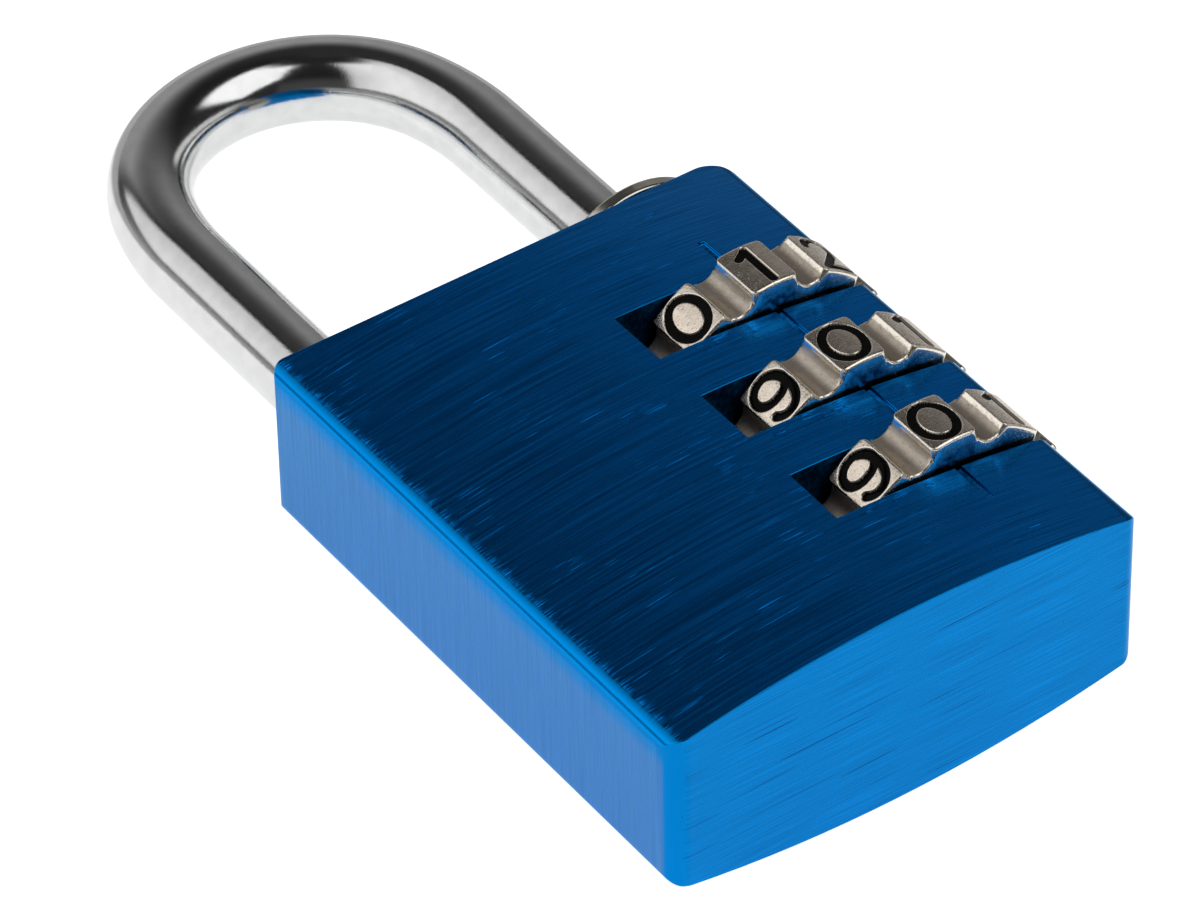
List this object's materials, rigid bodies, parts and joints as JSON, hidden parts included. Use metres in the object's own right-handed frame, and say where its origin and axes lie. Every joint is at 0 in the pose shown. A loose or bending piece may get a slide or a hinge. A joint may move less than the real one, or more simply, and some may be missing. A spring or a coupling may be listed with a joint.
{
  "type": "combination padlock",
  "caption": "Small dial padlock: blue brushed bar body of lens-shaped section, chromed U-shaped shackle and fluted number dials set in side slots.",
  "frame": {"origin": "centre of the flat bottom end of the body", "axes": "+Y from the bottom end towards the shackle, +Z out of the dial face, +X right when the dial face is looked at with the shackle up"},
  "size_m": [0.0323, 0.0663, 0.0156],
  "materials": {
    "blue_anodised_aluminium": "brushed and anodised blue",
    "chromed_steel": "polished chrome plate",
    "cast_nickel": "nickel plate over a cast surface, worn at the edges",
    "black_enamel": "glossy black fill",
    "nickel_plate": "turned nickel-plated brass",
    "brass": "machined",
    "spring_steel": "bright drawn",
    "hardened_steel": "ground"
  },
  "bodies": {
    "case": {"lock_body": "blue_anodised_aluminium", "top_bushing": "nickel_plate", "bushing_snap_ring": "spring_steel", "code_spring": "spring_steel", "detent_leaf_1": "spring_steel", "detent_leaf_2": "spring_steel", "detent_leaf_3": "spring_steel"},
    "shackle": {"shackle": "chromed_steel", "lock_pin_1": "hardened_steel", "lock_pin_2": "hardened_steel", "lock_pin_3": "hardened_steel"},
    "dial_1": {"dial_1": "cast_nickel", "dial_1_digits": "black_enamel"},
    "dial_2": {"dial_2": "cast_nickel", "dial_2_digits": "black_enamel"},
    "dial_3": {"dial_3": "cast_nickel", "dial_3_digits": "black_enamel"},
    "sleeve_1": {"sleeve_1": "brass", "thrust_washer": "brass"},
    "sleeve_2": {"sleeve_2": "brass"},
    "sleeve_3": {"sleeve_3": "brass"}
  },
  "joints": [
    {"name": "dial_1_turn", "type": "hinge", "parent": "case", "child": "dial_1", "pos_m": [0.0092, 0.0101, 0], "axis": [0, 1, 0], "continuous": true, "deforming": ["detent_leaf_1"]},
    {"name": "dial_2_turn", "type": "hinge", "parent": "case", "child": "dial_2", "pos_m": [0.0092, 0.0181, 0], "axis": [0, 1, 0], "continuous": true, "deforming": ["detent_leaf_2"]},
    {"name": "dial_3_turn", "type": "hinge", "parent": "case", "child": "dial_3", "pos_m": [0.0092, 0.0261, 0], "axis": [0, 1, 0], "continuous": true, "deforming": ["detent_leaf_3"]},
    {"name": "shackle_lift", "type": "slide", "parent": "case", "child": "shackle", "axis": [0, 1, 0], "range_m": [0, 0.006]},
    {"name": "sleeve_1_shift", "type": "slide", "parent": "dial_1", "child": "sleeve_1", "axis": [0, -1, 0], "range_m": [0, 0.0014], "stiffness_N_per_m": 600, "springref_m": -0.002, "deforming": ["code_spring"]},
    {"name": "sleeve_2_shift", "type": "slide", "parent": "dial_2", "child": "sleeve_2", "axis": [0, -1, 0], "range_m": [0, 0.0014]},
    {"name": "sleeve_3_shift", "type": "slide", "parent": "dial_3", "child": "sleeve_3", "axis": [0, -1, 0], "range_m": [0, 0.0014]}
  ],
  "couplings": [
    {"joint": "sleeve_2_shift", "follows": "sleeve_1_shift", "ratio": 1},
    {"joint": "sleeve_3_shift", "follows": "sleeve_1_shift", "ratio": 1}
  ]
}
